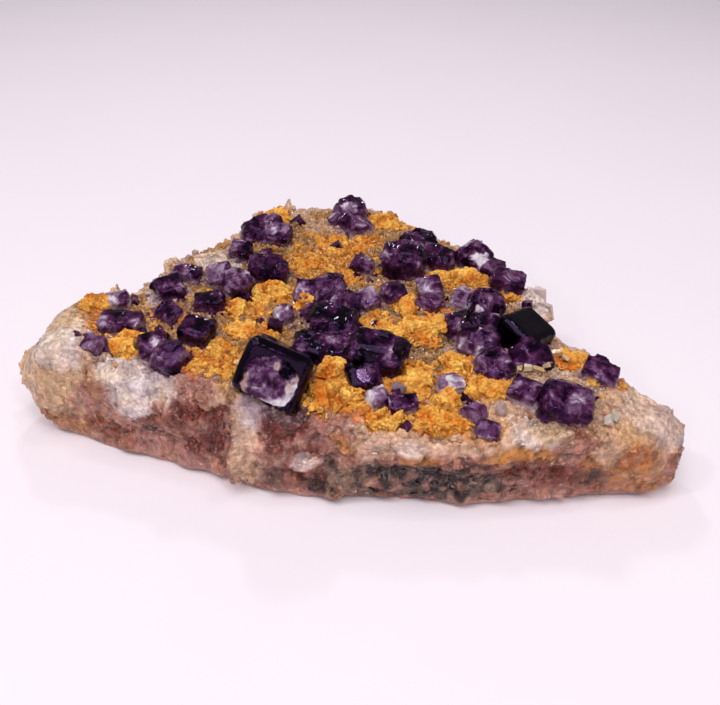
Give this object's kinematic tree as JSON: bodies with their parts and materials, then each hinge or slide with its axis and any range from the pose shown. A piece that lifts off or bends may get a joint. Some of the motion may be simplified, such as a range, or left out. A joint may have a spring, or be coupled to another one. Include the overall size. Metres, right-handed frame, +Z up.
{
  "type": "cubic fluorite on quartz matrix",
  "caption": "Hand-sized plate of drusy quartz matrix with intergrown purple fluorite cubes and raised orange limonite crusts; rests on its flat underside.",
  "frame": {"origin": "middle of the bounding box, on the plane of the flat underside", "axes": "+X along the plate's length towards its narrow right tip, +Y from the broken front side towards the back point, +Z up out of the crystal side"},
  "size_m": [0.1042, 0.0726, 0.0237],
  "materials": {
    "quartz": "translucent granular quartz, pale cream to red-brown and smoky, satin with glints, iron-stained yellow between the crystals",
    "fluorite": "glossy deep violet fluorite, clear at thin edges, with cloudy lilac zones",
    "limonite": "dull, spongy, bright yellow-orange iron crust"
  },
  "bodies": {
    "root": {"crust_back_left_rim": "limonite", "crust_back_right_rim": "limonite", "crust_centre_arch": "limonite", "crust_centre_small": "limonite", "crust_front_finger": "limonite", "crust_front_left": "limonite", "crust_front_left_low": "limonite", "crust_front_middle": "limonite", "crust_front_right": "limonite", "crust_front_right_ring": "limonite", "crust_left_bridge": "limonite", "crust_left_bridge_end": "limonite", "crust_left_end": "limonite", "crust_left_front": "limonite", "crust_left_middle": "limonite", "crust_right_back": "limonite", "crust_right_edge": "limonite", "crust_right_middle": "limonite", "crust_right_middle_low": "limonite", "crust_right_shoulder": "limonite", "fluorite_back_left_cube": "fluorite", "fluorite_back_purple": "fluorite", "fluorite_back_right_cluster": "fluorite", "fluorite_back_right_cube": "fluorite", "fluorite_back_top_cluster": "fluorite", "fluorite_centre_cluster": "fluorite", "fluorite_centre_dark": "fluorite", "fluorite_centre_pink": "fluorite", "fluorite_centre_right": "fluorite", "fluorite_front_cluster": "fluorite", "fluorite_front_cube": "fluorite", "fluorite_front_dark": "fluorite", "fluorite_front_grey": "fluorite", "fluorite_front_right_a": "fluorite", "fluorite_front_right_b": "fluorite", "fluorite_front_rose": "fluorite", "fluorite_left_back_cluster": "fluorite", "fluorite_left_back_dark": "fluorite", "fluorite_left_back_small": "fluorite", "fluorite_left_block": "fluorite", "fluorite_left_dark": "fluorite", "fluorite_left_long": "fluorite", "fluorite_left_low": "fluorite", "fluorite_left_pair": "fluorite", "fluorite_left_ridge": "fluorite", "fluorite_left_rim": "fluorite", "fluorite_left_sliver": "fluorite", "fluorite_left_tip": "fluorite", "fluorite_right_black_cube": "fluorite", "fluorite_right_blush": "fluorite", "fluorite_right_cluster": "fluorite", "fluorite_right_front_cube": "fluorite", "fluorite_right_inner": "fluorite", "fluorite_right_rim_cube": "fluorite", "fluorite_right_rim_low": "fluorite", "fluorite_right_shoulder": "fluorite", "fluorite_right_small": "fluorite", "quartz_matrix": "quartz"}
  },
  "joints": []
}
